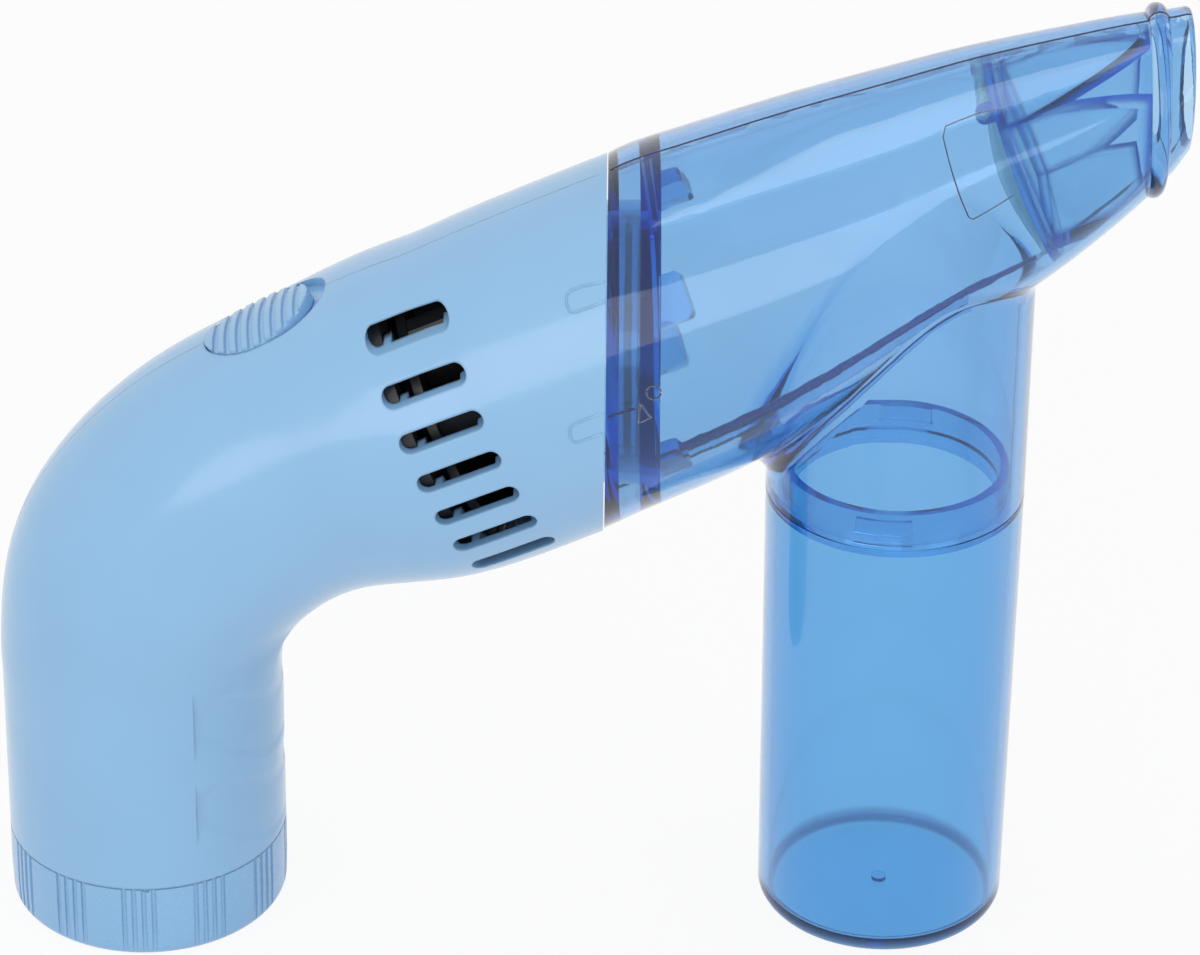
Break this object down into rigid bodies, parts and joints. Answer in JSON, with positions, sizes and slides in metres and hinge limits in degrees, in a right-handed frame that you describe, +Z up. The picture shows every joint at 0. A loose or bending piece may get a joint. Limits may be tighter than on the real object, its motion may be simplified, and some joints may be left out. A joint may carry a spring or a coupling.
{
  "type": "handheld vacuum cleaner",
  "caption": "Small battery vacuum: bent ribbed-cap handle, vented round body with slide switch, clear tapered nozzle with filter and flap, and clear catch bottle.",
  "frame": {"origin": "centre of the battery cap's foot face, on the ground the part stands on", "axes": "+X from the handle towards the nozzle mouth, +Y towards the half with the screw heads, +Z up"},
  "size_m": [0.1967, 0.0582, 0.1712],
  "materials": {
    "casing_blue": "light blue, moulded, satin gloss",
    "cap_blue": "light blue, moulded, satin gloss",
    "slider_blue": "light blue, moulded, slightly worn ridges",
    "screw_steel": "zinc-plated steel",
    "black_plastic": "black, moulded",
    "fan_black": "black, moulded",
    "cell_wrap": "plain metallic wrap",
    "contact_brass": "plated spring brass",
    "lever_white": "natural nylon",
    "motor_steel": "drawn steel can",
    "bell_plastic": "natural plastic",
    "shaft_steel": "ground steel",
    "nozzle_clear": "transparent blue, polished",
    "duct_clear": "transparent darker blue",
    "flap_green": "soft translucent green",
    "filter_frame_blue": "translucent violet blue",
    "filter_felt": "brown felt",
    "bottle_clear": "transparent pale blue, polished"
  },
  "bodies": {
    "casing": {"casing_left": "casing_blue", "casing_right": "casing_blue", "casing_screws": "screw_steel", "battery_holder": "black_plastic", "battery_cell_1": "cell_wrap", "battery_cell_2": "cell_wrap", "battery_cell_3": "cell_wrap", "battery_cell_4": "cell_wrap", "top_contacts": "contact_brass", "contact_disc": "black_plastic", "bridge_contacts": "contact_brass", "switch_body": "black_plastic", "motor_can": "motor_steel", "motor_end_bell": "bell_plastic", "motor_mount": "black_plastic", "motor_screws": "screw_steel", "fan_cover": "black_plastic"},
    "cap": {"battery_cap": "cap_blue"},
    "slider": {"switch_slider": "slider_blue", "switch_lever": "lever_white"},
    "rotor": {"motor_shaft": "shaft_steel", "fan": "fan_black"},
    "nozzle": {"nozzle_left": "nozzle_clear", "nozzle_right": "nozzle_clear", "inlet_duct": "duct_clear", "filter_frame": "filter_frame_blue", "filter_pad": "filter_felt"},
    "flap_leaf": {"flap": "flap_green"},
    "catch_bottle": {"bottle": "bottle_clear"}
  },
  "joints": [
    {"name": "cap_turn", "type": "hinge", "parent": "casing", "child": "cap", "pos_m": [0, 0, 0], "axis": [0, 0, 1], "range_deg": [0, 45]},
    {"name": "switch_slide", "type": "slide", "parent": "casing", "child": "slider", "axis": [0.8736, 0, 0.4866], "range_m": [0, 0.003]},
    {"name": "fan_spin", "type": "hinge", "parent": "casing", "child": "rotor", "pos_m": [0, 0, 0.0743], "axis": [0.9135, 0, 0.4067], "continuous": true},
    {"name": "nozzle_turn", "type": "hinge", "parent": "casing", "child": "nozzle", "pos_m": [0.0788, 0, 0.10938], "axis": [-1, 0, 0], "range_deg": [0, 40]},
    {"name": "bottle_turn", "type": "hinge", "parent": "nozzle", "child": "catch_bottle", "pos_m": [0.1278, 0, 0], "axis": [0, 0, 1], "range_deg": [0, 40]},
    {"name": "flap_swing", "type": "hinge", "parent": "nozzle", "child": "flap_leaf", "pos_m": [0.13931, 0, 0.15655], "axis": [0, 1, 0], "range_deg": [0, 55], "stiffness_Nm_per_rad": 0.0002, "springref_deg": -28.65}
  ]
}
